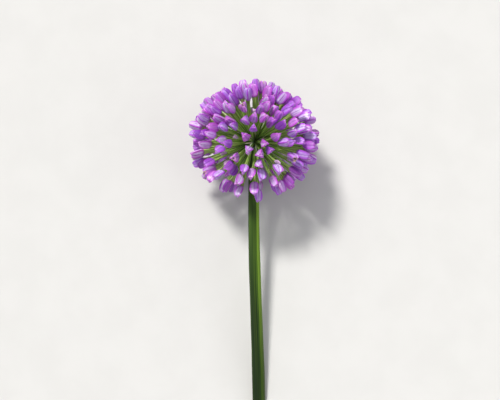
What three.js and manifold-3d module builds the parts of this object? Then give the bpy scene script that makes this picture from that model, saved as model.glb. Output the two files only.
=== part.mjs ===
// Allium flower head in bud, picked with its stalk (the scape) and laid down on a table.
// Millimetres, +Z up. The head lies towards +Y, the cut end of the scape towards -Y. The origin is on
// the table, under the middle of the whole flower.
//
// umbel: the receptacle at the top of the scape, with all pedicels and their closed buds grown out of it.
// scape: the two-edged stalk, from just under the receptacle to the cut.

import * as THREE from "three";
import { mergeVertices } from "three/addons/utils/BufferGeometryUtils.js";
import Module from "manifold-3d";

// Where the head lies
const HEAD_HEIGHT = 23.2; // middle of the receptacle above the table: the lowest buds are pressed in
const HEAD_X = 0.02;
const HEAD_Y = 36.7;
const PRESS = 0.25; // depth of the flat that the table leaves on each thing that touches it

// Head
const FLORETS = 192;
const HEAD_SEED = 10444;
const HEAD_RADIUS = 25.3; // to the tip of a full-grown bud, square to the scape
const FLATTENING = 0.06; // share by which the head is shorter along the scape
const TOP_BIAS = 0.35; // the buds stand closer towards the top of the head
const SCAPE_GAP_DEG = 28; // no bud stands closer to the scape than this
const JITTER = 0.08;
const LEAST_SPACING = 0.15; // between two buds' directions, as a distance on the unit ball
const SPACING_ROUNDS = 8;
const GOLDEN_ANGLE = Math.PI * (3 - Math.sqrt(5));
// One more floret hangs in front of the scape, where the others leave a gap
const HANGING_DIRECTION = new THREE.Vector3(0.05, -0.38, -0.924).normalize();
const HANGING_SEED = 15475;

// Florets
const BUD_LENGTH = 5.4;
const BUD_RADIUS = 1.66;
const BUD_LEAN = 0.16; // how far a bud may nod off its pedicel's line
const YOUNG_SHARE = 0.06;
const YOUNG_SIZES = [0.42, 0.62]; // as shares of the full-grown size
const GROWN_SIZES = [0.9, 1.08];
const YOUNG_REACHES = [0.6, 0.82]; // how far out the tip stands, as shares of HEAD_RADIUS
const GROWN_REACHES = [0.93, 1.03];
const PEDICEL_ROOT_RADIUS = 0.34;
const PEDICEL_TOP_RADIUS = 0.62;
const PEDICEL_ROOT_DEPTH = 1.4; // where it starts inside the receptacle, from the receptacle's middle
const PEDICEL_SIDES = 3;
const TEPAL_EDGES = 6; // three keels and the three valleys between them
// Height as a share of the bud, radius as a share of BUD_RADIUS, and how far the keels stand out
const BUD_RINGS = [
  { height: 0.1, radius: 0.72, keel: 0.12 },
  { height: 0.44, radius: 0.92, keel: 0.23 },
  { height: 0.82, radius: 0.7, keel: 0.3 },
];
const NECK_HEIGHT = -0.08; // where the pedicel meets the bud, as a share of the bud's length

// Receptacle
const RECEPTACLE_RADIUS = 3.4;
const RECEPTACLE_HALF_HEIGHT = 3.2;
const NECK_BOTTOM = 6.2; // where the umbel's own neck ends, below the middle of the receptacle
const NECK_HALF_WIDTH = 2.35;
const NECK_HALF_DEPTH = 1.6;
const NECK_SIDES = 12;

// Scape: two sharp edges, and a blunt ridge along the middle of each face
const SCAPE_TOP = 6.5;
const SCAPE_LENGTH = 98.9; // from the middle of the receptacle to the cut
const SCAPE_TOP_HALF_WIDTH = 2.45;
const SCAPE_END_HALF_WIDTH = 2.8;
const SCAPE_THICKNESS_SHARE = 0.68;
const SCAPE_EDGE = 0.14; // how far the two edges stand out, as a share of the half width
const SCAPE_RIDGE = 0.07; // the same for the two blunt ridges
const SCAPE_TURN_TOP_DEG = 50; // how far the scape is turned about its own line, at the head and at the cut
const SCAPE_TURN_END_DEG = 42;
const SCAPE_SIDES = 16;
const SCAPE_STEPS = 26;
const SCAPE_END_SHIFT = 1.7; // the cut end lies this far towards +X, and the scape bows to -X above it
const SCAPE_BOW = 1.4;

const HEAD_COLOUR = "#aa6fc2";
const HEAD_ROUGHNESS = 0.6;
const SCAPE_COLOUR = "#44602a";
const SCAPE_ROUGHNESS = 0.55;

// What is cut away under the table top
const TABLE_WIDTH = 300;
const TABLE_DEPTH = 50;

const RANDOM_FACTOR = 16807;
const RANDOM_MODULUS = 2147483647;
const UPRIGHT_SINE = 0.1; // of the angle from +Z, below which an axis counts as upright

// A generator of random numbers: the same seed always gives the same head.
function randomSource(seed) {
  let state = seed;
  return (low, high) => {
    state = (state * RANDOM_FACTOR) % RANDOM_MODULUS;
    return low + ((high - low) * state) / RANDOM_MODULUS;
  };
}

// The head's own frame has +Z along the scape towards the top of the head and -Y upwards. The scape
// slopes down to the table at this angle, so that its cut end just touches.
const topTurn = THREE.MathUtils.degToRad(SCAPE_TURN_TOP_DEG);
const endTurn = THREE.MathUtils.degToRad(SCAPE_TURN_END_DEG);
const endHalfDepth =
  SCAPE_END_HALF_WIDTH * Math.hypot(Math.sin(endTurn), SCAPE_THICKNESS_SHARE * Math.cos(endTurn));
const slope =
  Math.asin((HEAD_HEIGHT + PRESS) / Math.hypot(SCAPE_LENGTH, endHalfDepth)) -
  Math.atan2(endHalfDepth, SCAPE_LENGTH);
const headMiddle = new THREE.Vector3(HEAD_X, HEAD_Y, HEAD_HEIGHT);
const laidDown = new THREE.Matrix4()
  .makeTranslation(headMiddle)
  .multiply(new THREE.Matrix4().makeRotationX(slope - Math.PI / 2));

// Directions of the buds from the receptacle, in the head's frame: a golden spiral from the top down,
// each direction nudged at random, and then those that stand too close pushed apart.
function budDirections(random) {
  const lowest = -Math.cos(THREE.MathUtils.degToRad(SCAPE_GAP_DEG));
  const range = 1 - lowest + (TOP_BIAS * (1 - lowest ** 2)) / 2;
  const start = random(0, 2 * Math.PI);
  const directions = [];
  for (let i = 0; i < FLORETS; i += 1) {
    const share = ((i + 0.5) / FLORETS) * range;
    const rise = (Math.sqrt((1 + TOP_BIAS) ** 2 - 2 * TOP_BIAS * share) - 1) / TOP_BIAS;
    const across = Math.sqrt(1 - rise ** 2);
    const turn = start + i * GOLDEN_ANGLE;
    const direction = new THREE.Vector3(across * Math.cos(turn), across * Math.sin(turn), rise);
    direction.x += random(-JITTER, JITTER);
    direction.y += random(-JITTER, JITTER);
    direction.z += random(-JITTER, JITTER);
    directions.push(direction.normalize());
  }
  for (let round = 0; round < SPACING_ROUNDS; round += 1) {
    for (let i = 0; i < FLORETS; i += 1) {
      for (let j = i + 1; j < FLORETS; j += 1) {
        const apart = directions[j].clone().sub(directions[i]);
        const distance = apart.length();
        if (distance < LEAST_SPACING) {
          apart.multiplyScalar((LEAST_SPACING - distance) / (2 * distance));
          directions[i].sub(apart);
          directions[j].add(apart);
        }
      }
    }
    for (const direction of directions) {
      direction.z = Math.max(direction.z, lowest);
      direction.normalize();
    }
  }
  return directions;
}

// Which way a floret's pedicel heads, and where its bud is and how big.
function floretAt(direction, random) {
  const isYoung = random(0, 1) < YOUNG_SHARE;
  const size = random(...(isYoung ? YOUNG_SIZES : GROWN_SIZES));
  const reach = random(...(isYoung ? YOUNG_REACHES : GROWN_REACHES));
  const lean = new THREE.Vector3(random(-1, 1), random(-1, 1), random(-1, 1));
  const spin = random(0, 2 * Math.PI);
  const budAxis = direction.clone().addScaledVector(lean, BUD_LEAN).normalize();
  const axis = budAxis.transformDirection(laidDown);
  const heading = direction.clone().transformDirection(laidDown);
  const length = BUD_LENGTH * size;
  const radius = BUD_RADIUS * size;
  const outline = 1 - FLATTENING * direction.z ** 2;
  // The bud's middle moves in until the bud only just presses on the table.
  const drop = Math.hypot((length / 2) * axis.z, radius * Math.sqrt(1 - axis.z ** 2));
  const full = HEAD_RADIUS * reach * outline - length / 2;
  const limit = heading.z < 0 ? (HEAD_HEIGHT + PRESS - drop) / -heading.z : Infinity;
  const middle = headMiddle.clone().addScaledVector(heading, Math.min(full, limit));
  return { heading, axis, middle, length, radius, size, spin };
}

function floretsOfHead() {
  const random = randomSource(HEAD_SEED);
  const florets = budDirections(random).map((direction) => floretAt(direction, random));
  florets.push(floretAt(HANGING_DIRECTION, randomSource(HANGING_SEED)));
  return florets;
}

// A ring of points round centre, square to axis; radiusAt gives the radius of each point.
function ringOf(centre, axis, spin, sides, radiusAt) {
  const across = new THREE.Vector3(0, 0, 1).cross(axis);
  if (across.length() < UPRIGHT_SINE) {
    across.set(1, 0, 0).cross(axis);
  }
  across.normalize();
  const other = axis.clone().cross(across);
  const points = [];
  for (let i = 0; i < sides; i += 1) {
    const turn = spin + (2 * Math.PI * i) / sides;
    const radius = radiusAt(i);
    points.push(
      centre
        .clone()
        .addScaledVector(across, radius * Math.cos(turn))
        .addScaledVector(other, radius * Math.sin(turn)),
    );
  }
  return points;
}

// A closed skin over rings of points, from first to last; rings may differ in how many points they have.
function skinOver(rings) {
  const points = rings.flat();
  const corners = [];
  const starts = [];
  let start = 0;
  for (const ring of rings) {
    starts.push(start);
    start += ring.length;
  }
  for (let i = 1; i < rings[0].length - 1; i += 1) {
    corners.push(0, i + 1, i);
  }
  for (let k = 0; k < rings.length - 1; k += 1) {
    const low = rings[k].length;
    const high = rings[k + 1].length;
    let i = 0;
    let j = 0;
    while (i < low || (j < high && high > 1)) {
      const a = starts[k] + (i % low);
      const b = starts[k + 1] + (j % high);
      if (high === 1 || (i < low && (i + 0.5) / low <= (j + 0.5) / high)) {
        corners.push(a, starts[k] + ((i + 1) % low), b);
        i += 1;
      } else {
        corners.push(a, starts[k + 1] + ((j + 1) % high), b);
        j += 1;
      }
    }
  }
  const last = starts[rings.length - 1];
  const end = rings[rings.length - 1].length;
  for (let i = 1; i < end - 1; i += 1) {
    corners.push(last, last + i, last + i + 1);
  }
  const geometry = new THREE.BufferGeometry();
  geometry.setAttribute(
    "position",
    new THREE.Float32BufferAttribute(
      points.flatMap((point) => point.toArray()),
      3,
    ),
  );
  geometry.setIndex(corners);
  return geometry;
}

// Pedicel and bud in one skin, from the root inside the receptacle to the tip of the bud.
function floretGeometry(floret) {
  const { heading, axis, middle, length, radius, size, spin } = floret;
  const alongBud = (height) => middle.clone().addScaledVector(axis, (height - 0.5) * length);
  const root = headMiddle.clone().addScaledVector(heading, PEDICEL_ROOT_DEPTH);
  const neck = alongBud(NECK_HEIGHT);
  const stalk = neck.clone().sub(root).normalize();
  const rings = [
    ringOf(root, stalk, spin, PEDICEL_SIDES, () => PEDICEL_ROOT_RADIUS),
    ringOf(neck, stalk, spin, PEDICEL_SIDES, () => PEDICEL_TOP_RADIUS * Math.sqrt(size)),
  ];
  for (const { height, radius: share, keel } of BUD_RINGS) {
    const radiusAt = (i) => radius * share * (i % 2 === 0 ? 1 + keel : 1 - keel);
    rings.push(ringOf(alongBud(height), axis, spin, TEPAL_EDGES, radiusAt));
  }
  rings.push([alongBud(1)]);
  return skinOver(rings);
}

function receptacleGeometry() {
  const ball = new THREE.IcosahedronGeometry(1, 0);
  ball.scale(RECEPTACLE_RADIUS, RECEPTACLE_RADIUS, RECEPTACLE_HALF_HEIGHT);
  ball.rotateX(Math.PI / 2);
  return ball.applyMatrix4(laidDown);
}

function neckGeometry() {
  const neck = new THREE.CylinderGeometry(1, 1, NECK_BOTTOM, NECK_SIDES);
  neck.translate(0, -NECK_BOTTOM / 2, 0);
  neck.rotateX(Math.PI / 2);
  neck.scale(NECK_HALF_WIDTH, NECK_HALF_DEPTH, 1);
  neck.rotateZ(topTurn);
  return neck.applyMatrix4(laidDown);
}

// The scape is a flat lozenge across, and turns a little on its way down.
function scapeGeometry() {
  const rings = [];
  for (let step = 0; step <= SCAPE_STEPS; step += 1) {
    const below = THREE.MathUtils.lerp(SCAPE_TOP, SCAPE_LENGTH, step / SCAPE_STEPS);
    const share = below / SCAPE_LENGTH;
    const bow = SCAPE_BOW * Math.sin(Math.PI * share) * (1 - share);
    const centre = new THREE.Vector3(SCAPE_END_SHIFT * share - bow, 0, -below);
    const halfWidth = THREE.MathUtils.lerp(SCAPE_TOP_HALF_WIDTH, SCAPE_END_HALF_WIDTH, share);
    const turn = THREE.MathUtils.lerp(topTurn, endTurn, share);
    const ring = [];
    for (let i = 0; i < SCAPE_SIDES; i += 1) {
      const angle = (-2 * Math.PI * i) / SCAPE_SIDES;
      const edge = i % (SCAPE_SIDES / 2) === 0 ? 1 + SCAPE_EDGE : 1;
      const ridge = (i + SCAPE_SIDES / 4) % (SCAPE_SIDES / 2) === 0 ? 1 + SCAPE_RIDGE : 1;
      const across = halfWidth * edge * Math.cos(angle);
      const deep = halfWidth * SCAPE_THICKNESS_SHARE * ridge * Math.sin(angle);
      ring.push(
        new THREE.Vector3(
          across * Math.cos(turn) - deep * Math.sin(turn),
          across * Math.sin(turn) + deep * Math.cos(turn),
          0,
        )
          .add(centre)
          .applyMatrix4(laidDown),
      );
    }
    rings.push(ring);
  }
  return skinOver(rings);
}

const wasm = await Module();
wasm.setup();

function solidOf(geometry) {
  geometry.deleteAttribute("normal");
  geometry.deleteAttribute("uv");
  const merged = mergeVertices(geometry);
  return new wasm.Manifold(
    new wasm.Mesh({
      numProp: 3,
      vertProperties: merged.attributes.position.array,
      triVerts: new Uint32Array(merged.index.array),
    }),
  );
}

function meshOf(name, solid, colour, roughness) {
  const { vertProperties, triVerts } = solid.getMesh();
  const geometry = new THREE.BufferGeometry();
  geometry.setAttribute("position", new THREE.BufferAttribute(vertProperties, 3));
  geometry.setIndex(new THREE.BufferAttribute(triVerts, 1));
  geometry.computeVertexNormals();
  const material = new THREE.MeshStandardMaterial({ color: colour, roughness, metalness: 0 });
  const mesh = new THREE.Mesh(geometry, material);
  mesh.name = name;
  return mesh;
}

// What lies under the table top is cut away, which leaves the flats that the flower rests on.
const table = new THREE.BoxGeometry(TABLE_WIDTH, TABLE_WIDTH, TABLE_DEPTH);
const belowTable = solidOf(table.translate(0, 0, -TABLE_DEPTH / 2));

let head = solidOf(receptacleGeometry()).add(solidOf(neckGeometry()));
for (const floret of floretsOfHead()) {
  head = head.add(solidOf(floretGeometry(floret)));
}
const umbel = head.subtract(belowTable);
const scape = solidOf(scapeGeometry()).subtract(belowTable);

const allium = new THREE.Group();
allium.add(meshOf("umbel", umbel, HEAD_COLOUR, HEAD_ROUGHNESS));
allium.add(meshOf("scape", scape, SCAPE_COLOUR, SCAPE_ROUGHNESS));

export default allium;
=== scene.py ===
"""Allium flower head in bud, as picked, lying on a pale table.

The head's rule, its seeds and its main sizes repeat the construction's, in millimetres, so each bud
here stands where the construction has it. The pieces replace the plain solids: six overlapping tepals
for each bud, ribbed pedicels that swell under it, the receptacle, bracteoles, stamens in the buds that
have begun to open, and the two-edged scape.
"""

import math

import bpy
import numpy as np
from mathutils import Matrix, Vector


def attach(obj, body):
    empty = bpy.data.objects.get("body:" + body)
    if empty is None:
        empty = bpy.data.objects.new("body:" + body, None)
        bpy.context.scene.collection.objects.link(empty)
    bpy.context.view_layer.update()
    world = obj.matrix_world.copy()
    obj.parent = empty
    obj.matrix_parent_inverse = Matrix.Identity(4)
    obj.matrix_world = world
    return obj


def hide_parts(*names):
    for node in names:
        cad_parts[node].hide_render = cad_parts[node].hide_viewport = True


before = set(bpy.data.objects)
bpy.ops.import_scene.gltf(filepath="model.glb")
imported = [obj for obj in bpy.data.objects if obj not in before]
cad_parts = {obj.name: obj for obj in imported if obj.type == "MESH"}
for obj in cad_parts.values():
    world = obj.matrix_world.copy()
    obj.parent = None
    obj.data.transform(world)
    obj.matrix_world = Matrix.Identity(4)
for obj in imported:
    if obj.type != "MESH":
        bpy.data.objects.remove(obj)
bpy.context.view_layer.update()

MM = 0.001
FULL_TURN = 2 * math.pi

# Where the head lies
HEAD_MIDDLE = np.array([0.02, 36.7, 23.2])  # middle of the receptacle
PRESS = 0.25  # depth of the flat that the table leaves on each thing that touches it

# Head
FLORETS = 192
HEAD_SEED = 10444
HEAD_RADIUS = 25.3  # to the tip of a full-grown bud, square to the scape
FLATTENING = 0.06  # share by which the head is shorter along the scape
TOP_BIAS = 0.35  # the buds stand closer towards the top of the head
SCAPE_GAP_DEG = 28  # no bud stands closer to the scape than this
JITTER = 0.08  # how far each direction is nudged along X, Y and Z
LEAST_SPACING = 0.15  # between two buds' directions, as a distance on the unit ball
SPACING_ROUNDS = 8
GOLDEN_ANGLE = math.pi * (3 - math.sqrt(5))
RANDOM_FACTOR = 16807
RANDOM_MODULUS = 2147483647
UPRIGHT_SINE = 0.1  # of the angle from +Z, below which an axis counts as upright

# Florets
BUD_LENGTH = 5.4
BUD_RADIUS = 1.66
BUD_LEAN = 0.16  # how far a bud may nod off its pedicel's line
YOUNG_SHARE = 0.06  # of all florets
YOUNG_SIZES = (0.42, 0.62)  # as shares of the full-grown size
GROWN_SIZES = (0.9, 1.08)
YOUNG_REACHES = (0.6, 0.82)  # how far out the tip stands, as shares of HEAD_RADIUS
GROWN_REACHES = (0.93, 1.03)

# One more floret hangs in front of the scape, where the others leave a gap
HANGING_WAYS = ((0.05, -0.38, -0.924),)
HANGING_SEED = 15475

# Florets that the solids have no room for: they stand at random in the gaps between the others
BETWEEN_FLORETS = 44
BETWEEN_SEED = 11748
BETWEEN_SPACING = 0.15  # from the others, as a distance on the unit ball
BETWEEN_LOWEST = -0.6  # none stands lower on the head than this, where the head is sparser
BETWEEN_SINK = (0.9, 0.99)  # they reach this share of the way out

# The youngest florets, on short pedicels, by direction in the head's own frame
LATE_WAYS = ((-0.46, -0.88, 0.08), (0.71, -0.59, -0.38), (-0.5, 0.7, 0.5), (0.62, 0.75, -0.2))
LATE_SEED = 3

# Grown florets that only the scene has, where the head faces the camera and the others leave a gap
FRONT_WAYS = ((-0.053, -0.8, -0.596), (0.087, -0.968, -0.234))
FRONT_SEED = 40000

# Scape
SCAPE_TOP = 6.5
SCAPE_LENGTH = 98.9  # from the middle of the receptacle to the cut
SCAPE_TOP_HALF_WIDTH = 2.45
SCAPE_END_HALF_WIDTH = 2.8
SCAPE_THICKNESS_SHARE = 0.68
SCAPE_EDGE = 0.14  # how far the two edges stand out, as a share of the half width
SCAPE_RIDGE = 0.07  # the same for the two blunt ridges
SCAPE_TOP_TURN = math.radians(50)  # how far the scape is turned about its own line
SCAPE_END_TURN = math.radians(42)
SCAPE_END_SHIFT = 1.7  # the cut end lies this far towards +X, and the scape bows to -X above it
SCAPE_BOW = 1.4

END_HALF_DEPTH = SCAPE_END_HALF_WIDTH * math.hypot(
    math.sin(SCAPE_END_TURN), SCAPE_THICKNESS_SHARE * math.cos(SCAPE_END_TURN)
)
SLOPE = math.asin((HEAD_MIDDLE[2] + PRESS) / math.hypot(SCAPE_LENGTH, END_HALF_DEPTH)) - math.atan2(
    END_HALF_DEPTH, SCAPE_LENGTH
)
# Columns: the head's own X, Y and Z, where Z runs along the scape to the top of the head and -Y is up
LAID_DOWN = np.array(Matrix.Rotation(SLOPE - math.pi / 2, 3, "X"))
HEAD_RIGHT, HEAD_DOWN, HEAD_TOP = LAID_DOWN.T


def random_source(seed):
    """A generator of random numbers, the same as the construction's."""
    state = seed

    def draw(low, high):
        nonlocal state
        state = (state * RANDOM_FACTOR) % RANDOM_MODULUS
        return low + ((high - low) * state) / RANDOM_MODULUS

    return draw


# The head's rule


def unit(vector):
    """The same direction with length 1."""
    length = math.sqrt(sum(value**2 for value in vector))
    return [value / length for value in vector]


def spot_on_ball(rise, turn):
    """The direction at this height on the unit ball and this angle round Z."""
    across = math.sqrt(1 - rise**2)
    return [across * math.cos(turn), across * math.sin(turn), rise]


def random_vector(draw):
    """Three random numbers from -1 to 1."""
    return [draw(-1, 1) for _ in range(3)]


def push_apart(directions):
    """Moves each pair that stands too close apart, in the same order as the construction does."""
    for i, a in enumerate(directions):
        for b in directions[i + 1 :]:
            rise = b[2] - a[2]
            if abs(rise) >= LEAST_SPACING:
                continue
            apart = (b[0] - a[0], b[1] - a[1], rise)
            distance = math.sqrt(apart[0] ** 2 + apart[1] ** 2 + apart[2] ** 2)
            if distance < LEAST_SPACING:
                share = (LEAST_SPACING - distance) / (2 * distance)
                for axis in range(3):
                    a[axis] -= apart[axis] * share
                    b[axis] += apart[axis] * share


def bud_directions(draw):
    """Directions of the buds from the receptacle: a golden spiral from the top down, nudged at random."""
    lowest = -math.cos(math.radians(SCAPE_GAP_DEG))
    reach = 1 - lowest + (TOP_BIAS * (1 - lowest**2)) / 2
    start = draw(0, FULL_TURN)
    directions = []
    for i in range(FLORETS):
        share = ((i + 0.5) / FLORETS) * reach
        rise = (math.sqrt((1 + TOP_BIAS) ** 2 - 2 * TOP_BIAS * share) - 1) / TOP_BIAS
        spot = spot_on_ball(rise, start + i * GOLDEN_ANGLE)
        directions.append(unit([value + draw(-JITTER, JITTER) for value in spot]))
    for _ in range(SPACING_ROUNDS):
        push_apart(directions)
        for i, (x, y, z) in enumerate(directions):
            directions[i] = unit([x, y, max(z, lowest)])
    return directions


def side_frame(axis):
    """Two directions square to axis, from which the sides of a bud or pedicel are counted."""
    across = np.cross((0, 0, 1), axis)
    if np.linalg.norm(across) < UPRIGHT_SINE:
        across = np.cross((1, 0, 0), axis)
    across /= np.linalg.norm(across)
    return across, np.cross(axis, across)


def way_round(angles, across, other):
    """The direction at each angle, counted from across towards other."""
    angles = np.asarray(angles)[..., None]
    return np.cos(angles) * across + np.sin(angles) * other


def floret_at(direction, draw, sink=1.0, always_young=False):
    """One floret, in the table's frame and millimetres. The draws come in the construction's order."""
    is_young = draw(0, 1) < YOUNG_SHARE or always_young
    size = draw(*(YOUNG_SIZES if is_young else GROWN_SIZES))
    reach = draw(*(YOUNG_REACHES if is_young else GROWN_REACHES))
    lean = random_vector(draw)
    spin = draw(0, FULL_TURN)
    axis = LAID_DOWN @ unit([d + BUD_LEAN * v for d, v in zip(direction, lean)])
    heading = LAID_DOWN @ direction
    length = BUD_LENGTH * size
    radius = BUD_RADIUS * size
    away = HEAD_RADIUS * reach * sink * (1 - FLATTENING * direction[2] ** 2) - length / 2
    if heading[2] < 0:
        # The bud's middle moves in until the bud only just presses on the table
        drop = math.hypot(length / 2 * axis[2], radius * math.sqrt(1 - axis[2] ** 2))
        away = min(away, (HEAD_MIDDLE[2] + PRESS - drop) / -heading[2])
    across, other = side_frame(axis)
    return {
        "direction": direction,
        "heading": heading,
        "axis": axis,
        "across": across,
        "other": other,
        "middle": HEAD_MIDDLE + heading * away,
        "length": length,
        "radius": radius,
        "size": size,
        "spin": spin,
        "young": is_young,
    }


def florets_between(florets):
    """Random directions, kept where they are clear of every floret before them."""
    draw = random_source(BETWEEN_SEED)
    nearest = math.cos(2 * math.asin(BETWEEN_SPACING / 2))
    taken = [floret["direction"] for floret in florets]
    added = []
    while len(added) < BETWEEN_FLORETS:
        spot = spot_on_ball(draw(BETWEEN_LOWEST, 1), draw(0, FULL_TURN))
        if np.max(np.array(taken) @ spot) > nearest:
            continue
        taken.append(spot)
        added.append(floret_at(spot, draw, sink=draw(*BETWEEN_SINK)))
    return added


def florets_placed(ways, seed, always_young=False):
    """Florets at listed directions."""
    draw = random_source(seed)
    return [floret_at(unit(way), draw, always_young=always_young) for way in ways]


def all_florets():
    """Every floret, in the order in which the pieces draw for them."""
    draw = random_source(HEAD_SEED)
    florets = [floret_at(direction, draw) for direction in bud_directions(draw)]
    florets += florets_between(florets)
    florets += florets_placed(LATE_WAYS, LATE_SEED, always_young=True)
    florets += florets_placed(HANGING_WAYS, HANGING_SEED)
    florets += florets_placed(FRONT_WAYS, FRONT_SEED)
    return florets


# Meshes

SHARP_FROM = math.radians(55)


def add_object(name, data):
    """A new object of the scene."""
    made = bpy.data.objects.new(name, data)
    bpy.context.scene.collection.objects.link(made)
    return made


def mesh_piece(name, points, faces):
    """A smooth mesh object from arrays of points in millimetres. Nothing reaches below the table."""
    points = np.concatenate(points)
    points[:, 2] = np.maximum(points[:, 2], 0)
    mesh = bpy.data.meshes.new(name)
    mesh.from_pydata((points * MM).tolist(), [], faces)
    mesh.shade_smooth()
    mesh.set_sharp_from_angle(angle=SHARP_FROM)
    mesh.validate()
    mesh.update()
    piece = add_object(name, mesh)
    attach(piece, "root")
    return piece


def keep_on_points(piece, name, values):
    """Keeps three numbers for each point in the mesh, for the materials to read."""
    layer = piece.data.attributes.new(name, "FLOAT_VECTOR", "POINT")
    layer.data.foreach_set("vector", np.concatenate(values).astype(np.float32).ravel())


def keep_map(piece, places):
    """Keeps the bake's map: one place in the unit square for each corner of each face."""
    layer = piece.data.uv_layers.new(name="OFBake", do_init=False)
    layer.uv.foreach_set("vector", np.asarray(places, np.float32).ravel())


def piece_of_copies(name, points, faces, places, count):
    """One piece of count like parts with the same faces. On the map, each part has its own cell."""
    points_each = sum(len(part) for part in points) // count
    copies = [[corner + k * points_each for corner in face] for k in range(count) for face in faces]
    piece = mesh_piece(name, points, copies)
    side = math.ceil(math.sqrt(count))
    cells = np.array([(k % side, k // side) for k in range(count)])
    keep_map(piece, ((cells[:, None, :] + places[None]) / side).reshape(-1, 2))
    return piece


def add_strip(faces, places, rows, across, heights):
    """Adds the faces between two rows of points. On the map, across has the points' places and heights
    the two rows'."""
    first, second = rows
    low, high = heights
    for k in range(len(first) - 1):
        faces.append([first[k], first[k + 1], second[k + 1], second[k]])
        left, right = across[k], across[k + 1]
        places += [(left, low), (right, low), (right, high), (left, high)]


# Where a tepal's skins and rims, and a tube's side and caps, come on the map
MAP_HEIGHTS = (0.06, 0.94)
FRONT_ACROSS = (0.03, 0.62)
BACK_ACROSS = (0.68, 0.97)
RIM_MIDDLE = 0.5
LOW_RIM = (0.05, 0.01)
HIGH_RIM = (0.95, 0.99)
TUBE_ACROSS = (0.03, 0.97)
CAP_MIDDLE = 0.5
LOW_CAP = 0.03
HIGH_CAP = 0.97
CAP_HALF_WIDTH = 0.4
CAP_HALF_HEIGHT = 0.02


# Tepals

# Bud's outline from base to tip, which turns in over the stamens: height and radius as shares of the bud's
BUD_OUTLINE = ((0, 0.45), (0.12, 0.77), (0.44, 1.0), (0.76, 0.92), (0.95, 0.6), (0.99, 0.25), (0.95, 0.02))
# How far the bud goes from round towards three-cornered, with the outer tepals' keels at the corners
CORNER_HEIGHTS = (0, 0.12, 0.44, 0.82, 1)
CORNER_SHARES = (0.15, 0.35, 0.75, 0.88, 0.8)
CORNER_SHRINK = 0.28  # a bud that is fully three-cornered would be slimmer by this share
MEAN_TRIANGLE = 1.2575  # mean radius of a triangle whose sides pass at 1 from its middle

TEPALS = 3  # in each whorl
WHORLS = {
    "outer": {
        "rows": 18,
        "front": 11,
        "turn": 0.0,
        "half_angle": math.radians(61.5),
        "inset": 0.0,
        "shingle": 0.04,
        "top": 1.0,
        "thickness": 0.16,
        "open_flare": 0.28,
    },
    "inner": {
        "rows": 11,
        "front": 5,
        "turn": math.pi / TEPALS,
        "half_angle": math.radians(50),
        "inset": 0.14,
        "shingle": 0.0,
        "top": 0.96,
        "thickness": 0.12,
        "open_flare": 0.1,
    },
}
ROW_CROWDING = 1.25  # the rows of points stand closer together towards the tip
INSET_FROM = 0.25  # a tepal has its full inset from this far up
LEAST_RADIUS = 0.02  # no tepal comes closer to its bud's axis than this
NOTCH = 0.05  # the seams dip this far between the keels at the tip, as a share of the bud's length
NOTCH_POWER = 5  # keeps the notch near the tip
FLARE_POWER = 1.5  # keeps the lean of an opening tepal in its upper part
FLARE_SINK = 0.35  # an opening tepal comes down by this share of its lean
FLARE_SINK_POWER = 2

# How buds and tepals differ
TEPAL_SEED = 71
OPENING_SHARE = 0.04  # of the grown buds
OPENINGS = (0.15, 0.6)
OPEN_NARROWING = 0.12
BUD_WIDTHS = (0.93, 1.05)
OWN_WIDTHS = (0.98, 1.02)
OWN_REACHES = (0.975, 1.0)
OWN_FLARES = (0.6, 1.2)
CLOSED_FLARES = (0, 0.004)
SHARED_LIGHT = 0.6  # of a tepal's lightness, which all tepals of its bud have in common
SHARED_HUE = 0.7


def curve_through(points, shares):
    """A smooth curve through the points, at these shares of the way along it."""
    reach = np.concatenate([[0], np.cumsum(np.linalg.norm(np.diff(points, axis=0), axis=1))])
    slopes = np.gradient(points, reach, axis=0)
    at = shares * reach[-1]
    k = np.clip(np.searchsorted(reach, at, side="right") - 1, 0, len(points) - 2)
    span = (reach[k + 1] - reach[k])[:, None]
    t = (at - reach[k])[:, None] / span
    from_start = points[k] * (1 + 2 * t) * (1 - t) ** 2 + slopes[k] * span * t * (1 - t) ** 2
    from_end = points[k + 1] * t**2 * (3 - 2 * t) - slopes[k + 1] * span * t**2 * (1 - t)
    return from_start + from_end


def keel_factor(height, angle):
    """How far the bud stands out at an angle from the nearest outer tepal's keel."""
    share = np.interp(height, CORNER_HEIGHTS, CORNER_SHARES)
    third = FULL_TURN / TEPALS
    from_face = angle % third - third / 2
    triangle = 1 / (np.cos(from_face) * MEAN_TRIANGLE)
    return (1 - share + share * triangle) * (1 - CORNER_SHRINK * share)


def crescent(rows, front):
    """Faces and map of one tepal: a front skin of rows by front points, and a back skin that shares its
    two side edges and has one point of its own in each row, behind the keel."""
    fronts = [[row * front + k for k in range(front)] for row in range(rows)]
    backs = [[line[0], rows * front + row, line[-1]] for row, line in enumerate(fronts)]
    heights = np.linspace(*MAP_HEIGHTS, rows)
    front_across = np.linspace(*FRONT_ACROSS, front)
    back_across = np.linspace(*BACK_ACROSS, 3)
    faces = []
    places = []
    for row in range(rows - 1):
        low, high = heights[row], heights[row + 1]
        add_strip(faces, places, (fronts[row], fronts[row + 1]), front_across, (low, high))
        # The back skin's rows come the other way round, so that it faces backwards
        add_strip(faces, places, (backs[row + 1], backs[row]), back_across, (high, low))
    for row, (edge, middle) in ((0, LOW_RIM), (rows - 1, HIGH_RIM)):
        loop = [*fronts[row], backs[row][1]]
        spots = [(u, edge) for u in front_across] + [(RIM_MIDDLE, middle)]
        if row == 0:
            loop.reverse()
            spots.reverse()
        faces.append(loop)
        places += spots
    return faces, np.array(places)


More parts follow.
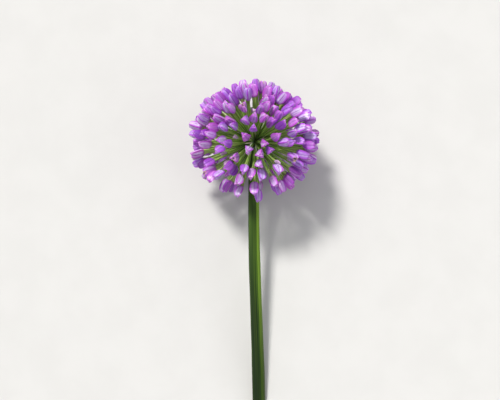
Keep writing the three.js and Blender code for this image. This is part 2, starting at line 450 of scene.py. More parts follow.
def tepal_skin(floret, whorl, which, habit, back):
    """Points of one tepal's front skin, or those behind its keel, with their places on the tepal."""
    steps = 1 - (1 - np.linspace(0, 1, whorl["rows"])) ** ROW_CROWDING
    along = steps[:, None]
    across = np.zeros((1, 1)) if back else np.linspace(-1, 1, whorl["front"])[None, :]
    outline = np.array(BUD_OUTLINE) * (BUD_LENGTH, BUD_RADIUS)
    line = curve_through(outline, steps) / (BUD_LENGTH, BUD_RADIUS)
    height = line[:, :1]
    turn = whorl["turn"] + across * whorl["half_angle"] * habit["width"]
    radius = floret["radius"] * line[:, 1:] * keel_factor(height, turn)
    # One edge of each outer tepal lies over its neighbour's, like a shingle
    radius = radius - whorl["inset"] * np.minimum(1, along / INSET_FROM) + whorl["shingle"] * across
    if back:
        radius = radius - whorl["thickness"]
    radius = np.maximum(radius, LEAST_RADIUS)
    notch = NOTCH * across**2 * np.sin(math.pi * along**NOTCH_POWER)
    height = whorl["top"] * habit["reach"] * (height - notch)
    middle_turn = floret["spin"] + which * FULL_TURN / TEPALS
    outward = way_round(middle_turn + turn, floret["across"], floret["other"])
    keel_way = way_round(middle_turn + whorl["turn"], floret["across"], floret["other"])
    flare = habit["flare"] * floret["length"] * along**FLARE_POWER
    sink = FLARE_SINK * habit["flare"] * floret["length"] * along**FLARE_SINK_POWER
    lift = (height - 0.5) * floret["length"] - sink
    skin = (
        floret["middle"]
        + lift[..., None] * floret["axis"]
        + radius[..., None] * outward
        + flare[..., None] * keel_way
    )
    places = np.stack(np.broadcast_arrays(across, along, float(back)), -1)
    return skin.reshape(-1, 3), places.reshape(-1, 3)


def tepal_habit(floret, whorl, draw):
    """How one tepal differs from the others of its bud."""
    narrowing = 1 - OPEN_NARROWING * bool(floret["opening"])
    return {
        "width": floret["width"] * draw(*OWN_WIDTHS) * narrowing,
        "reach": draw(*OWN_REACHES),
        "flare": whorl["open_flare"] * floret["opening"] * draw(*OWN_FLARES) + draw(*CLOSED_FLARES),
        "tone": (
            SHARED_LIGHT * floret["light"] + (1 - SHARED_LIGHT) * draw(0, 1),
            SHARED_HUE * floret["hue"] + (1 - SHARED_HUE) * draw(0, 1),
            draw(0, 1),
        ),
    }


def add_habits(florets):
    """Adds how each bud differs from the next, and how its tepals do, listed under their whorl's name."""
    draw = random_source(TEPAL_SEED)
    for floret in florets:
        opens = (not floret["young"]) and draw(0, 1) < OPENING_SHARE
        floret["opening"] = draw(*OPENINGS) if opens else 0
        floret["width"] = draw(*BUD_WIDTHS)
        floret["light"] = draw(0, 1)
        floret["hue"] = draw(0, 1)
        for name, whorl in WHORLS.items():
            floret[name] = [tepal_habit(floret, whorl, draw) for _ in range(TEPALS)]


def tepals_piece(name, whorl_name, florets):
    """The tepals of one whorl, on all these florets."""
    whorl = WHORLS[whorl_name]
    faces, places = crescent(whorl["rows"], whorl["front"])
    points = []
    leaf = []
    tones = []
    ages = []
    for floret in florets:
        age = (float(floret["young"]), floret["opening"], 0)
        for which, habit in enumerate(floret[whorl_name]):
            for back in (False, True):
                skin, spots = tepal_skin(floret, whorl, which, habit, back)
                points.append(skin)
                leaf.append(spots)
                tones += [habit["tone"]] * len(skin)
                ages += [age] * len(skin)
    piece = piece_of_copies(name, points, faces, places, len(florets) * TEPALS)
    keep_on_points(piece, "leaf", leaf)
    keep_on_points(piece, "tone", tones)
    keep_on_points(piece, "age", ages)
    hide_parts("umbel")
    return piece


# Tubes: pedicels, bracteoles and stamens, and with more sides the scape and the receptacle


def tube_faces(rings, sides):
    """Faces and map of a tube: a strip between each two rings, and a cap at each end."""
    around = [[ring * sides + k % sides for k in range(sides + 1)] for ring in range(rings)]
    across = np.linspace(*TUBE_ACROSS, sides + 1)
    heights = np.linspace(*MAP_HEIGHTS, rings)
    faces = []
    places = []
    for ring in range(rings - 1):
        add_strip(faces, places, around[ring : ring + 2], across, heights[ring : ring + 2])
    turns = np.linspace(0, FULL_TURN, sides, endpoint=False)
    cap = [(CAP_MIDDLE + CAP_HALF_WIDTH * math.cos(turn), CAP_HALF_HEIGHT * math.sin(turn)) for turn in turns]
    faces.append(around[0][:sides][::-1])
    places += [(u, LOW_CAP + v) for u, v in reversed(cap)]
    faces.append(around[-1][:sides])
    places += [(u, HIGH_CAP + v) for u, v in cap]
    return faces, np.array(places)


def tube_points(line, radii, sides, spin=0.0, ribs=1.0):
    """Rings round a line of points, where ribs has a factor for each side."""
    ways = np.gradient(line, axis=0)
    ways /= np.linalg.norm(ways, axis=1, keepdims=True)
    across, _ = side_frame(ways[0])
    turns = spin + np.linspace(0, FULL_TURN, sides, endpoint=False)
    points = []
    for place, way, radius in zip(line, ways, radii):
        across = across - way * (across @ way)
        across /= np.linalg.norm(across)
        ring = way_round(turns, across, np.cross(way, across))
        points.append(place + ring * np.reshape(radius * ribs, (-1, 1)))
    return np.concatenate(points)


def ring_marks(angles, height, reach=1.0):
    """Three numbers for each point of a ring: cosine and sine of its angle, times reach, and a height."""
    return np.stack([np.cos(angles) * reach, np.sin(angles) * reach, np.full_like(angles, height)], -1)


# Pedicels

PEDICEL_SEED = 5
PEDICEL_RINGS = 15
PEDICEL_SIDES = 12
PEDICEL_CROWDING = 1.4  # the rings stand closer together towards the bud
PEDICEL_ROOT_DEPTH = 1.2  # where it starts inside the receptacle, from the receptacle's middle
PEDICEL_TOP_DEPTH = 0.03  # how far it reaches into the bud, as a share of the bud's length
PEDICEL_ROOT_RADIUS = 0.34
PEDICEL_MIDDLE_RADIUS = 0.38
PEDICEL_TOP_RADIUS = 0.45
CUP_RADIUS = 0.5  # of the bud's radius: the green swelling that the tepals stand on
CUP_START = 0.82  # along the pedicel
CUP_POWER = 1.8
PEDICEL_CORNERS = 3
PEDICEL_RIB = 0.13  # the corners stand out by this share, and the sides between them stand back
PEDICEL_BOW = 0.45
PEDICEL_TOP_BOW = 0.3  # the share of the bow that is left at the bud
LEAVE_SHARE = 1 / 3  # how far the pedicel keeps its first and last directions, as shares of its span
ARRIVE_SHARE = 1 / 4


def pedicel_line(floret, draw):
    """From inside the receptacle to just inside the bud's base, bowed a little to one side."""
    root = HEAD_MIDDLE + floret["heading"] * PEDICEL_ROOT_DEPTH
    base = floret["middle"] - floret["axis"] * (0.5 * floret["length"])
    top = base + floret["axis"] * PEDICEL_TOP_DEPTH * floret["length"]
    side = np.array(random_vector(draw))
    side -= floret["heading"] * (side @ floret["heading"])
    bow = side * PEDICEL_BOW
    span = np.linalg.norm(top - root)
    leave = root + floret["heading"] * span * LEAVE_SHARE + bow
    arrive = top - floret["axis"] * span * ARRIVE_SHARE + bow * PEDICEL_TOP_BOW
    far = 1 - (1 - np.linspace(0, 1, PEDICEL_RINGS)[:, None]) ** PEDICEL_CROWDING
    near = 1 - far
    line = near**3 * root + 3 * near**2 * far * leave + 3 * near * far**2 * arrive + far**3 * top
    return line, far[:, 0]


def pedicels_piece(florets):
    """Three-cornered stalks, which swell to a cup under the bud."""
    draw = random_source(PEDICEL_SEED)
    faces, places = tube_faces(PEDICEL_RINGS, PEDICEL_SIDES)
    turns = np.linspace(0, FULL_TURN, PEDICEL_SIDES, endpoint=False)
    ridges = np.cos(PEDICEL_CORNERS * turns)
    slim_radii = (PEDICEL_ROOT_RADIUS, PEDICEL_MIDDLE_RADIUS, PEDICEL_TOP_RADIUS)
    points = []
    stalk = []
    tones = []
    for floret in florets:
        line, steps = pedicel_line(floret, draw)
        slim = np.interp(steps, (0, 0.5, CUP_START), slim_radii) * math.sqrt(floret["size"])
        swell = np.clip((steps - CUP_START) / (1 - CUP_START), 0, 1) ** CUP_POWER
        radii = slim * (1 - swell) + CUP_RADIUS * floret["radius"] * swell
        spin = draw(0, FULL_TURN)
        points.append(tube_points(line, radii, PEDICEL_SIDES, spin, 1 + PEDICEL_RIB * ridges))
        stalk += [ring_marks(turns, step) for step in steps]
        light = draw(0, 1)
        seed = draw(0, 1)
        tones += [(light, seed, ridge) for ridge in ridges] * PEDICEL_RINGS
    piece = piece_of_copies("pedicels", points, faces, places, len(florets))
    keep_on_points(piece, "stalk", stalk)
    keep_on_points(piece, "tone", tones)
    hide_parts("umbel")
    return piece


# Scape

SCAPE_RINGS = 90
SCAPE_SIDES = 48
SCAPE_TUCK = 0.25  # how far it starts above SCAPE_TOP, inside the receptacle's skin
EDGE_WIDTH = 0.2
RIDGE_WIDTH = 0.25
SCAPE_RIB = 0.006
SCAPE_RIBS = 16
SCAPE_SWELL = 0.02
SLOW_SWELL = 9.1  # radians over the scape's length, for the two waves of its swelling
FAST_SWELL = 23.0
SCAPE_ANGLES = -np.linspace(0, FULL_TURN, SCAPE_SIDES, endpoint=False)
CUT_RINGS = 7
CUT_HOLLOW = 0.25


def bump_at(angle, place, width):
    """A smooth peak of height 1 round place, on a circle."""
    apart = (angle - place + math.pi) % FULL_TURN - math.pi
    return np.exp(-((apart / width) ** 2))


def scape_ring(below):
    """The scape's ring of points at this distance below the middle of the receptacle."""
    angle = SCAPE_ANGLES
    edges = bump_at(angle, 0, EDGE_WIDTH) + bump_at(angle, math.pi, EDGE_WIDTH)
    ridges = bump_at(angle, math.pi / 2, RIDGE_WIDTH) + bump_at(angle, -math.pi / 2, RIDGE_WIDTH)
    rib = 1 + SCAPE_RIB * np.cos(SCAPE_RIBS * angle)
    share = below / SCAPE_LENGTH
    bow = SCAPE_BOW * math.sin(math.pi * share) * (1 - share)
    half = SCAPE_TOP_HALF_WIDTH + (SCAPE_END_HALF_WIDTH - SCAPE_TOP_HALF_WIDTH) * share
    half *= 1 + SCAPE_SWELL * math.sin(SLOW_SWELL * share) * math.sin(FAST_SWELL * share)
    turn = SCAPE_TOP_TURN + (SCAPE_END_TURN - SCAPE_TOP_TURN) * share
    across = half * (1 + SCAPE_EDGE * edges) * rib * np.cos(angle)
    deep = half * SCAPE_THICKNESS_SHARE * (1 + SCAPE_RIDGE * ridges) * rib * np.sin(angle)
    x = across * math.cos(turn) - deep * math.sin(turn) + SCAPE_END_SHIFT * share - bow
    y = across * math.sin(turn) + deep * math.cos(turn)
    return HEAD_MIDDLE + np.stack([x, y, np.full_like(x, -below)], -1) @ LAID_DOWN.T


def scape_piece():
    """The stalk, down to a cut face of rings that shrink to its middle, which is a little hollow."""
    belows = np.linspace(SCAPE_TOP - SCAPE_TUCK, SCAPE_LENGTH, SCAPE_RINGS)
    rings = [scape_ring(below) for below in belows]
    grain = [ring_marks(SCAPE_ANGLES, below) for below in belows]
    cut = [np.zeros((SCAPE_SIDES, 3)) for _ in belows]
    last = rings[-1]
    centre = last.mean(axis=0)
    for k in range(1, CUT_RINGS):
        share = 1 - k / CUT_RINGS
        dip = CUT_HOLLOW * math.sin(math.pi / 2 * (1 - share))
        rings.append(centre + (last - centre) * share + HEAD_TOP * dip)
        grain.append(ring_marks(SCAPE_ANGLES, SCAPE_LENGTH))
        cut.append(ring_marks(SCAPE_ANGLES, 1.0, share))
    faces, places = tube_faces(len(rings), SCAPE_SIDES)
    piece = mesh_piece("stalk", rings, faces)
    keep_map(piece, places)
    keep_on_points(piece, "grain", grain)
    keep_on_points(piece, "cut", cut)
    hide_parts("scape")
    return piece


# Receptacle

RECEPTACLE_TOP = 2.3
DOME_FOOT = -0.5  # the dome gets no narrower below this height
RECEPTACLE_NECK = -1.5
RECEPTACLE_OVER = 1.03  # its width as a share of the scape's that it covers
DOME_RINGS = 16
DOME_ARC = (1.5, -0.4)  # radians, from near the dome's top to under its widest ring
DOME_CLOSING = 0.1  # the dome's top ring keeps some width, because the full dome is this much higher
NECK_RINGS = 12
SCAR_AT = 6.0  # where the papery sheath of the young umbel broke off
SCAR_WIDTH = 0.25
SCAR_HEIGHT = 0.12


def receptacle_share(height):
    """The receptacle's width at a height, as a share of the scape's at its neck."""
    if height < RECEPTACLE_NECK:
        return 1 + SCAR_HEIGHT * math.exp(-(((height + SCAR_AT) / SCAR_WIDTH) ** 2))
    rise = max(height, DOME_FOOT) / (RECEPTACLE_TOP + DOME_CLOSING)
    return math.sqrt(1 - rise**2)


def receptacle_piece():
    """The dome that the pedicels grow from, down over the top of the scape to the sheath's scar."""
    dome = RECEPTACLE_TOP * np.sin(np.linspace(*DOME_ARC, DOME_RINGS))
    heights = np.concatenate([dome, np.linspace(RECEPTACLE_NECK, -SCAPE_TOP, NECK_RINGS)])
    rings = []
    grain = []
    for height in heights:
        below = max(-height, -RECEPTACLE_NECK)
        base = scape_ring(below)
        centre = base.mean(axis=0)
        lift = HEAD_TOP * (height + below)
        rings.append(centre + lift + (base - centre) * receptacle_share(height) * RECEPTACLE_OVER)
        grain.append(ring_marks(SCAPE_ANGLES, -height))
    faces, places = tube_faces(len(rings), SCAPE_SIDES)
    piece = mesh_piece("receptacle", rings, faces)
    keep_map(piece, places)
    keep_on_points(piece, "grain", grain)
    keep_on_points(piece, "cut", np.zeros((len(rings) * SCAPE_SIDES, 3)))
    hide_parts("umbel")
    return piece


# Bracteoles: thin, papery, whitish scales between the pedicels' roots

BRACTEOLES = 110
BRACTEOLE_SEED = 17
BRACTEOLE_RINGS = 7
BRACTEOLE_SIDES = 6
BRACTEOLE_FLAT = np.array((1.0, 0.3, 0.3, 1.0, 0.3, 0.3))  # how far out each side of its section is
BRACTEOLE_LOWEST = -0.6  # none grows lower on the receptacle than this
BRACTEOLE_LENGTHS = (4.5, 9.5)
BRACTEOLE_HALF_WIDTHS = (0.25, 0.45)
BRACTEOLE_ROOT = 1.9  # from the middle of the receptacle
BRACTEOLE_BENDS = (0.2, 1.1)
BRACTEOLE_ARC = (0.12, 0.98)  # the part of half a wave that its outline follows, from root to tip
BRACTEOLE_FULLNESS = 0.7


def bracteoles_piece():
    """Flat scales that bend a little to one side."""
    draw = random_source(BRACTEOLE_SEED)
    faces, places = tube_faces(BRACTEOLE_RINGS, BRACTEOLE_SIDES)
    steps = np.linspace(0, 1, BRACTEOLE_RINGS)
    taper = np.sin(math.pi * np.linspace(*BRACTEOLE_ARC, BRACTEOLE_RINGS)) ** BRACTEOLE_FULLNESS
    points = []
    tones = []
    for _ in range(BRACTEOLES):
        heading = LAID_DOWN @ spot_on_ball(draw(BRACTEOLE_LOWEST, 1), draw(0, FULL_TURN))
        side = np.cross(heading, LAID_DOWN @ unit(random_vector(draw)))
        length = draw(*BRACTEOLE_LENGTHS)
        root = HEAD_MIDDLE + heading * BRACTEOLE_ROOT
        line = root + np.outer(steps * length, heading) + np.outer(steps**2 * draw(*BRACTEOLE_BENDS), side)
        radii = draw(*BRACTEOLE_HALF_WIDTHS) * taper
        points.append(tube_points(line, radii, BRACTEOLE_SIDES, ribs=BRACTEOLE_FLAT))
        tones += [(draw(0, 1), draw(0, 1), 0)] * len(points[-1])
    piece = piece_of_copies("bracteoles", points, faces, places, BRACTEOLES)
    keep_on_points(piece, "tone", tones)
    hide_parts("umbel")
    return piece


# Stamens: six in each bud that has begun to open, with their anthers near its mouth

STAMENS = 6
STAMEN_SEED = 9
STAMEN_RINGS = 10
STAMEN_SIDES = 6
STAMEN_ROOT = -0.42  # from the bud's middle, as a share of its length
STAMEN_LENGTHS = (0.78, 0.88)  # as shares of the bud's length
STAMEN_LEAN = (0.25, 0.5)  # from the bud's axis at root and tip, as shares of its radius
FILAMENT_RADIUS = 0.1
ANTHER_RADIUS = 0.24
ANTHER_FROM = 0.72  # along the stamen
ANTHER_TIP_RADIUS = 0.05


def stamens_piece(florets):
    """Filaments with an anther at the tip, in the open buds only."""
    draw = random_source(STAMEN_SEED)
    faces, places = tube_faces(STAMEN_RINGS, STAMEN_SIDES)
    steps = np.linspace(0, 1, STAMEN_RINGS)
    anther = np.clip((steps - ANTHER_FROM) / (1 - ANTHER_FROM), 0, 1)
    radii = FILAMENT_RADIUS + (ANTHER_RADIUS - FILAMENT_RADIUS) * np.sqrt(np.sin(math.pi * anther))
    radii[-1] = ANTHER_TIP_RADIUS
    marks = np.repeat(np.stack([steps, steps, steps], -1), STAMEN_SIDES, axis=0)
    points = []
    for floret in florets:
        if not floret["opening"]:
            continue
        for k in range(STAMENS):
            turn = floret["spin"] + (k + 0.5) * FULL_TURN / STAMENS
            way = way_round(turn, floret["across"], floret["other"])
            lift = (STAMEN_ROOT + steps * draw(*STAMEN_LENGTHS)) * floret["length"]
            lean = np.linspace(*STAMEN_LEAN, STAMEN_RINGS) * floret["radius"]
            line = floret["middle"] + np.outer(lift, floret["axis"]) + np.outer(lean, way)
            points.append(tube_points(line, radii, STAMEN_SIDES))
    piece = piece_of_copies("stamens", points, faces, places, len(points))
    keep_on_points(piece, "stalk", [marks] * len(points))
    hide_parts("umbel")
    return piece


# Materials


class Nodes:
    """A new material, with short ways to add nodes to it."""

    def __init__(self, name):
        self.material = bpy.data.materials.new(name)
        self.material.use_nodes = True
        self.tree = self.material.node_tree
        self.tree.nodes.clear()
        self.shader = self.add("ShaderNodeBsdfPrincipled")
        out = self.add("ShaderNodeOutputMaterial")
        self.link(self.shader.outputs["BSDF"], out.inputs["Surface"])

    def add(self, kind, **settings):
        node = self.tree.nodes.new(kind)
        for key, value in settings.items():
            setattr(node, key, value)
        return node

    def link(self, source, socket):
        self.tree.links.new(source, socket)

    def put(self, value, socket):
        """A plain value is set on the socket, and a node's output is linked to it."""
        if isinstance(value, (int, float, tuple)):
            socket.default_value = value
        else:
            self.link(value, socket)

    def feed(self, name, source):
        """Links a node's output to the shader's input of this name."""
        self.link(source, self.shader.inputs[name])

    def set(self, **values):
        """Sets plain values on the shader, with _ for each space in an input's name."""
        for name, value in values.items():
            self.shader.inputs[name.replace("_", " ")].default_value = value

    def maths(self, operation, *values):
        node = self.add("ShaderNodeMath", operation=operation)
        for value, socket in zip(values, node.inputs):
            self.put(value, socket)
        return node.outputs[0]

    def times(self, first, second):
        return self.maths("MULTIPLY", first, second)

    def plus(self, first, second):
        return self.maths("ADD", first, second)

    def attribute(self, name):
        """The three numbers that keep_on_points kept under this name."""
        node = self.add("ShaderNodeAttribute", attribute_name=name)
        split = self.add("ShaderNodeSeparateXYZ")
        self.link(node.outputs["Vector"], split.inputs[0])
        return split.outputs

    def vector(self, x, y, z):
        node = self.add("ShaderNodeCombineXYZ")
        for value, socket in zip((x, y, z), node.inputs):
            self.put(value, socket)
        return node.outputs[0]

    def noise(self, place, scale=1.0, detail=2.0, roughness=0.5):
        node = self.add("ShaderNodeTexNoise")
        self.link(place, node.inputs["Vector"])
        node.inputs["Scale"].default_value = scale
        node.inputs["Detail"].default_value = detail
        node.inputs["Roughness"].default_value = roughness
        return node.outputs["Fac"]

    def ramp(self, value, span, ends=(0.0, 1.0)):
        """A smooth step from one end to the other, as value goes over span."""
        node = self.add("ShaderNodeMapRange", interpolation_type="SMOOTHSTEP")
        self.put(value, node.inputs["Value"])
        for name, number in zip(("From Min", "From Max", "To Min", "To Max"), (*span, *ends)):
            node.inputs[name].default_value = number
        return node.outputs["Result"]

    def mix(self, share, first, second):
        node = self.add("ShaderNodeMix", data_type="RGBA")
        self.put(share, node.inputs["Factor"])
        for name, colour in (("A", first), ("B", second)):
            self.put((*colour, 1.0) if isinstance(colour, tuple) else colour, node.inputs[name])
        return node.outputs["Result"]

    def cover(self, colour, other, value, span, shares=(0.0, 1.0)):
        """Mixes in another colour, by shares that follow value as it goes over span."""
        return self.mix(self.ramp(value, span, shares), colour, other)

    def bump(self, height, depth_mm):
        node = self.add("ShaderNodeBump")
        node.inputs["Strength"].default_value = 1.0
        node.inputs["Distance"].default_value = depth_mm * MM
        self.link(height, node.inputs["Height"])
        self.feed("Normal", node.outputs["Normal"])


DEEP_PURPLE = (0.15, 0.009, 0.3)
PURPLE = (0.43, 0.08, 0.77)
MAGENTA = (0.65, 0.105, 0.7)
# Pale lilac of the flanks, bright enough to serve as a painted sheen
PALE_LILAC_AND_SHEEN = (0.84, 0.76, 0.99)
PINK_EDGE = (0.5, 0.07, 0.5)
CREAM = (0.78, 0.72, 0.55)
GREENISH = (0.42, 0.42, 0.22)
YOUNG_PINK = (0.86, 0.6, 0.84)

# Places on a tepal: across it from the keel at 0 to the edge at 1, and along it from base to tip
KEEL = (0.0, 0.18)
FLANK = (0.05, 0.45)
SEAM = (0.92, 1.0)
BASE = (0.0, 0.14)
LOWER_PART = (0.0, 0.3)
UPPER_PART = (0.75, 1.0)
TIP = (0.85, 1.0)
# How often the noise changes across and along a tepal, then its detail and its roughness
TEPAL_STREAKS = (4.0, 0.9, 3.0, 0.65)
TEPAL_VEINS = (22.0, 1.0, 2.0, 0.6)
TEPAL_BLOTCHES = (1.2, 2.2, 2.0, 0.5)
TEPAL_NOISE_APART = 37.0  # so that no two tepals get the same piece of the noise
TEPAL_RELIEF_MM = 0.07


def tepal_material():
    """Purple to magenta tepals with pale flanks that carry a painted sheen, a pink keel and tip, and a dark
    seam that is partly painted shade.
    """
    nodes = Nodes("tepal")
    across, along, behind = nodes.attribute("leaf")
    light, hue, seed = nodes.attribute("tone")
    young, opening, _ = nodes.attribute("age")
    side = nodes.maths("ABSOLUTE", across)
    apart = nodes.times(seed, TEPAL_NOISE_APART)

    def noise(times_across, times_along, detail, roughness):
        place = nodes.vector(nodes.times(across, times_across), nodes.times(along, times_along), apart)
        return nodes.noise(place, detail=detail, roughness=roughness)

    streaks = noise(*TEPAL_STREAKS)
    veins = noise(*TEPAL_VEINS)
    blotches = noise(*TEPAL_BLOTCHES)
    colour = nodes.cover(PURPLE, MAGENTA, hue, (0.1, 0.9))
    colour = nodes.cover(colour, DEEP_PURPLE, streaks, (0.45, 0.75), (0.0, 0.45))
    # The flanks between keel and seam are pale, more on some tepals than on others: their own pale colour,
    # with a painted sheen on top
    flank = nodes.times(nodes.ramp(side, FLANK), nodes.ramp(along, LOWER_PART))
    flank = nodes.times(flank, nodes.ramp(along, UPPER_PART, (1.0, 0.35)))
    lightness = nodes.plus(light, nodes.times(blotches, 0.6))
    pale = nodes.times(flank, nodes.ramp(lightness, (0.5, 1.25), (0.12, 1.0)))
    pale = nodes.times(pale, nodes.ramp(streaks, (0.62, 0.38), (0.45, 1.0)))
    colour = nodes.mix(pale, colour, PALE_LILAC_AND_SHEEN)
    colour = nodes.cover(colour, DEEP_PURPLE, light, (0.5, 0.1), (0.0, 0.5))
    # Fine veins are a little darker
    colour = nodes.cover(colour, PURPLE, veins, (0.5, 0.72), (0.0, 0.35))
    colour = nodes.cover(colour, PINK_EDGE, side, KEEL, (0.4, 0.0))
    # The seam is darker: the margin's own deeper colour, and painted shade where the tepals meet
    colour = nodes.cover(colour, DEEP_PURPLE, side, SEAM, (0.0, 0.8))
    colour = nodes.cover(colour, PINK_EDGE, along, TIP, (0.0, 0.5))
    colour = nodes.cover(colour, GREENISH, along, BASE, (0.75, 0.0))
    colour = nodes.mix(nodes.times(young, 0.7), colour, YOUNG_PINK)
    # The inner side is cream, most of all in the buds that have begun to open
    inside = nodes.times(behind, nodes.ramp(opening, (0.0, 0.1), (0.5, 0.85)))
    nodes.feed("Base Color", nodes.mix(inside, colour, CREAM))
    nodes.feed("Roughness", nodes.ramp(streaks, (0.3, 0.8), (0.36, 0.5)))
    nodes.set(Subsurface_Weight=0.15, Subsurface_Radius=(1.0, 0.5, 1.0), Subsurface_Scale=0.6 * MM)
    nodes.set(Specular_IOR_Level=0.35, Sheen_Weight=0.05, Coat_Weight=0.25, Coat_Roughness=0.22)
    nodes.bump(nodes.plus(streaks, nodes.times(veins, 0.5)), TEPAL_RELIEF_MM)
    return nodes.material


PEDICEL_GREEN = (0.27, 0.45, 0.065)
PEDICEL_LIGHT = (0.48, 0.64, 0.19)
PEDICEL_SHADE = (0.06, 0.13, 0.025)
PEDICEL_BLUSH = (0.3, 0.2, 0.2)
PEDICEL_NOISE_SCALE = 2.5
PEDICEL_NOISE_APART = 23.0
PEDICEL_RELIEF_MM = 0.03


def pedicel_material():
    """Green stalks with painted shade at the root, painted highlights on the ridges, painted shade in the
    furrows, and a blush under the bud.
    """
    nodes = Nodes("pedicel")
    cosine, sine, along = nodes.attribute("stalk")
    light, seed, ridge = nodes.attribute("tone")
    x, y, z = [nodes.times(value, PEDICEL_NOISE_SCALE) for value in (cosine, sine, along)]
    x = nodes.plus(x, nodes.times(seed, PEDICEL_NOISE_APART))
    streaks = nodes.noise(nodes.vector(x, y, z), detail=3.0, roughness=0.6)
    # Painted shade towards the root, deep in the head
    colour = nodes.cover(PEDICEL_SHADE, PEDICEL_GREEN, along, (0.1, 0.6))
    near_bud = nodes.times(nodes.ramp(along, (0.55, 0.95)), nodes.ramp(light, (0.0, 1.0), (0.3, 0.9)))
    colour = nodes.mix(near_bud, colour, PEDICEL_LIGHT)
    # Painted highlight along the ridges and painted shade in the furrows
    colour = nodes.cover(colour, PEDICEL_LIGHT, ridge, (0.3, 1.0), (0.0, 0.7))
    colour = nodes.cover(colour, PEDICEL_SHADE, ridge, (0.3, -0.8), (0.0, 0.6))
    colour = nodes.cover(colour, PEDICEL_LIGHT, streaks, (0.5, 0.8), (0.0, 0.5))
    colour = nodes.cover(colour, PEDICEL_BLUSH, along, (0.97, 1.0), (0.0, 0.4))
    nodes.feed("Base Color", colour)
    nodes.feed("Roughness", nodes.ramp(streaks, (0.3, 0.8), (0.36, 0.5)))
    nodes.set(Subsurface_Weight=0.1, Subsurface_Radius=(0.5, 1.0, 0.2), Subsurface_Scale=0.4 * MM)
    nodes.bump(streaks, PEDICEL_RELIEF_MM)
    return nodes.material


SCAPE_GREEN = (0.06, 0.13, 0.014)
SCAPE_DARK = (0.01, 0.022, 0.006)
SCAPE_LIGHT = (0.19, 0.32, 0.03)
SCAPE_GREY = (0.05, 0.085, 0.03)
SCAPE_FLESH = (0.55, 0.62, 0.38)
PITH = (0.72, 0.75, 0.58)
SCAPE_RELIEF_MM = 0.03
# How often the noise changes round the scape, and in each millimetre along it
STREAKS_ROUND = 6.0
STREAKS_ALONG = 0.02
CLOUDS_ALONG = 0.04
STRANDS_SCALE = 9.0
# Places down the scape, in millimetres below the middle of the receptacle, where its painted shade and light
# change
DARKENING = (10.0, 75.0)
FADING = (30.0, 95.0)
FOOT = (50.0, 92.0)


def scape_material():
    """A green stalk with painted shade on its far side and towards its foot, painted light on the flank, and
    a pale cut face.
    """
    nodes = Nodes("scape_skin")
    cosine, sine, below = nodes.attribute("grain")
    cut_x, cut_y, is_cut = nodes.attribute("cut")
    x, y = [nodes.times(value, STREAKS_ROUND) for value in (cosine, sine)]
    streaks = nodes.noise(nodes.vector(x, y, nodes.times(below, STREAKS_ALONG)), detail=4.0, roughness=0.6)
    clouds = nodes.noise(nodes.vector(cosine, sine, nodes.times(below, CLOUDS_ALONG)))
    colour = nodes.cover(SCAPE_DARK, SCAPE_GREEN, clouds, (0.3, 0.6), (0.3, 1.0))
    # Painted shade on the far side, deeper further down the scape
    painted_shade_side = nodes.times(nodes.ramp(cosine, (0.0, -0.6)), nodes.ramp(below, DARKENING, (0.25, 0.97)))
    colour = nodes.mix(painted_shade_side, colour, SCAPE_DARK)
    colour = nodes.cover(colour, SCAPE_LIGHT, streaks, (0.45, 0.75), (0.0, 0.35))
    # The flanks beyond one edge and its opposite are yellower, a painted light, and the edges themselves
    # greyer
    flank = nodes.times(nodes.ramp(cosine, (-0.22, -0.1)), nodes.ramp(sine, (0.1, -0.1)))
    flank = nodes.times(flank, nodes.ramp(below, FADING, (0.85, 0.45)))
    colour = nodes.mix(flank, colour, SCAPE_LIGHT)
    colour = nodes.cover(colour, SCAPE_GREY, nodes.maths("ABSOLUTE", cosine), (0.95, 1.0), (0.0, 0.35))
    # Painted shade towards the foot
    colour = nodes.cover(colour, SCAPE_DARK, below, FOOT, (0.0, 0.7))
    # The cut face: green rim, pale flesh with darker strands round a lighter pith
    reach = nodes.maths("SQRT", nodes.plus(nodes.times(cut_x, cut_x), nodes.times(cut_y, cut_y)))
    strands = nodes.noise(nodes.vector(cut_x, cut_y, 0.0), scale=STRANDS_SCALE, detail=1.0)
    flesh = nodes.cover(SCAPE_FLESH, SCAPE_LIGHT, strands, (0.5, 0.62))
    flesh = nodes.cover(flesh, PITH, reach, (0.3, 0.5), (0.8, 0.0))
    flesh = nodes.cover(flesh, SCAPE_GREEN, reach, (0.82, 0.95))
    nodes.feed("Base Color", nodes.mix(is_cut, colour, flesh))
    nodes.feed("Roughness", nodes.ramp(streaks, (0.3, 0.8), (0.45, 0.6)))
    nodes.set(Specular_IOR_Level=0.1)
    nodes.bump(streaks, SCAPE_RELIEF_MM)
    return nodes.material


PAPER = (0.82, 0.8, 0.62)
PAPER_DARK = (0.55, 0.45, 0.36)


def bracteole_material():
    """Whitish paper, browner on some scales than on others."""
    nodes = Nodes("papery_scale")
    light, _, _ = nodes.attribute("tone")
    nodes.feed("Base Color", nodes.cover(PAPER, PAPER_DARK, light, (0.2, 1.0)))
    nodes.set(Roughness=0.55, Subsurface_Weight=0.2, Subsurface_Scale=0.4 * MM)
    return nodes.material


FILAMENT = (0.62, 0.4, 0.7)
ANTHER = (0.75, 0.62, 0.2)


def stamen_material():
    """Lilac filaments with yellow anthers."""
    nodes = Nodes("stamen")
    along, _, _ = nodes.attribute("stalk")
    nodes.feed("Base Color", nodes.cover(FILAMENT, ANTHER, along, (0.7, 0.78)))
    nodes.set(Roughness=0.6)
    return nodes.material


TABLE_COLOUR = (0.62, 0.61, 0.585)
TABLE_LIGHT = (0.64, 0.63, 0.605)
TABLE_CLOUDS_SCALE = 60.0


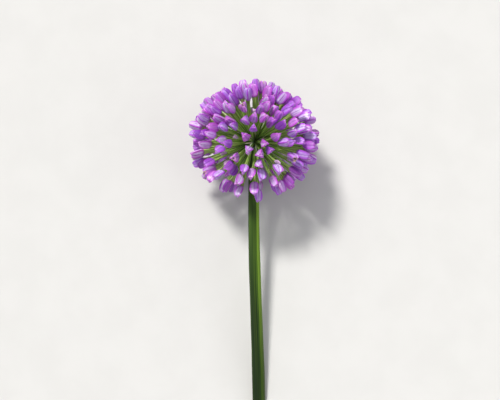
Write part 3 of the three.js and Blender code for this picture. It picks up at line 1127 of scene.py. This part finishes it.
def table_material():
    """A plain pale top, with faint clouds."""
    nodes = Nodes("pale_table")
    place = nodes.add("ShaderNodeTexCoord")
    clouds = nodes.noise(place.outputs["Object"], scale=TABLE_CLOUDS_SCALE, detail=3.0)
    nodes.feed("Base Color", nodes.cover(TABLE_COLOUR, TABLE_LIGHT, clouds, (0.3, 0.7)))
    nodes.set(Roughness=0.7)
    return nodes.material


# Camera, light and table

PHOTO_WIDTH = 500
PHOTO_HEIGHT = 400
PHOTO_MM_PER_PIXEL = 0.3802
PHOTO_HEAD_X = 254.5
PHOTO_HEAD_Y = 142
FOCAL_MM = 100
SENSOR_MM = 36
NEAR_CLIP_M = 0.01

# The lights' places and sizes are in metres
KEY = {"way": (-0.3, 0.45, 0.84), "spread": math.radians(12), "power": 3.1, "colour": (1.0, 0.985, 0.96)}
GLINT = {"way": (-0.25, 0.2, 0.95), "spread": math.radians(14), "power": 1.9, "colour": (1.0, 1.0, 1.0)}
FILL = {"place": (0.6, -0.1, 0.5), "size": 0.6, "power": 0.9, "colour": (0.95, 0.97, 1.0)}
SURROUND_COLOUR = (0.93, 0.95, 1.0, 1.0)
SURROUND_STRENGTH = 0.5
TABLE_HALF_WIDTH_M = 6.0


def add_camera():
    """Looks down square to the scape, with the head where the photo has it."""
    distance = PHOTO_WIDTH * PHOTO_MM_PER_PIXEL * FOCAL_MM / SENSOR_MM
    aim = HEAD_MIDDLE - HEAD_RIGHT * (PHOTO_HEAD_X - PHOTO_WIDTH / 2) * PHOTO_MM_PER_PIXEL
    aim = aim - HEAD_TOP * (PHOTO_HEIGHT / 2 - PHOTO_HEAD_Y) * PHOTO_MM_PER_PIXEL
    data = bpy.data.cameras.new("camera")
    data.lens = FOCAL_MM
    data.sensor_width = SENSOR_MM
    data.clip_start = NEAR_CLIP_M
    camera = add_object("camera", data)
    turn = Matrix((HEAD_RIGHT, HEAD_TOP, -HEAD_DOWN)).transposed().to_4x4()
    camera.matrix_world = Matrix.Translation(Vector((aim - HEAD_DOWN * distance) * MM)) @ turn
    bpy.context.scene.camera = camera


def add_lamp(name, kind, power, colour):
    """A lamp of any kind."""
    data = bpy.data.lights.new(name, kind)
    data.energy = power
    data.color = colour
    return add_object(name, data)


def add_sun(name, way, spread, power, colour):
    """A sun that stands in direction way."""
    lamp = add_lamp(name, "SUN", power, colour)
    lamp.data.angle = spread
    lamp.rotation_euler = Vector(way).to_track_quat("Z", "Y").to_euler()
    return lamp


def add_area(name, place, size, power, colour):
    """A square lamp that faces the head."""
    lamp = add_lamp(name, "AREA", power, colour)
    lamp.data.shape = "SQUARE"
    lamp.data.size = size
    lamp.location = place
    lamp.rotation_euler = (Vector(HEAD_MIDDLE * MM) - Vector(place)).to_track_quat("-Z", "Y").to_euler()


def add_studio():
    """A soft sun, a small reflection on each bud, a weak fill and a plain pale surround."""
    scene = bpy.context.scene
    add_sun("key", **KEY)
    # The glint lights nothing: it only shows as a small reflection on each bud
    glint = add_sun("glint", **GLINT)
    glint.visible_diffuse = False
    add_area("fill", **FILL)
    world = bpy.data.worlds.new("studio")
    world.use_nodes = True
    surround = world.node_tree.nodes["Background"]
    surround.inputs["Color"].default_value = SURROUND_COLOUR
    surround.inputs["Strength"].default_value = SURROUND_STRENGTH
    scene.world = world
    scene.view_settings.view_transform = "Standard"
    scene.view_settings.look = "None"


def add_table():
    """A wide flat top at Z 0."""
    half = TABLE_HALF_WIDTH_M
    mesh = bpy.data.meshes.new("table")
    corners = [(-half, -half, 0), (half, -half, 0), (half, half, 0), (-half, half, 0)]
    mesh.from_pydata(corners, [], [(0, 1, 2, 3)])
    mesh.materials.append(table_material())
    table = add_object("table", mesh)


def main():
    add_camera()
    florets = all_florets()
    add_habits(florets)
    half = len(florets) // 2
    tepal = tepal_material()
    scape = scape_material()
    for piece, made in (
        (tepals_piece("outer_tepals_a", "outer", florets[:half]), tepal),
        (tepals_piece("outer_tepals_b", "outer", florets[half:]), tepal),
        (tepals_piece("inner_tepals", "inner", florets), tepal),
        (stamens_piece(florets), stamen_material()),
        (pedicels_piece(florets), pedicel_material()),
        (bracteoles_piece(), bracteole_material()),
        (scape_piece(), scape),
        (receptacle_piece(), scape),
    ):
        piece.data.materials.append(made)
    add_table()
    add_studio()


main()
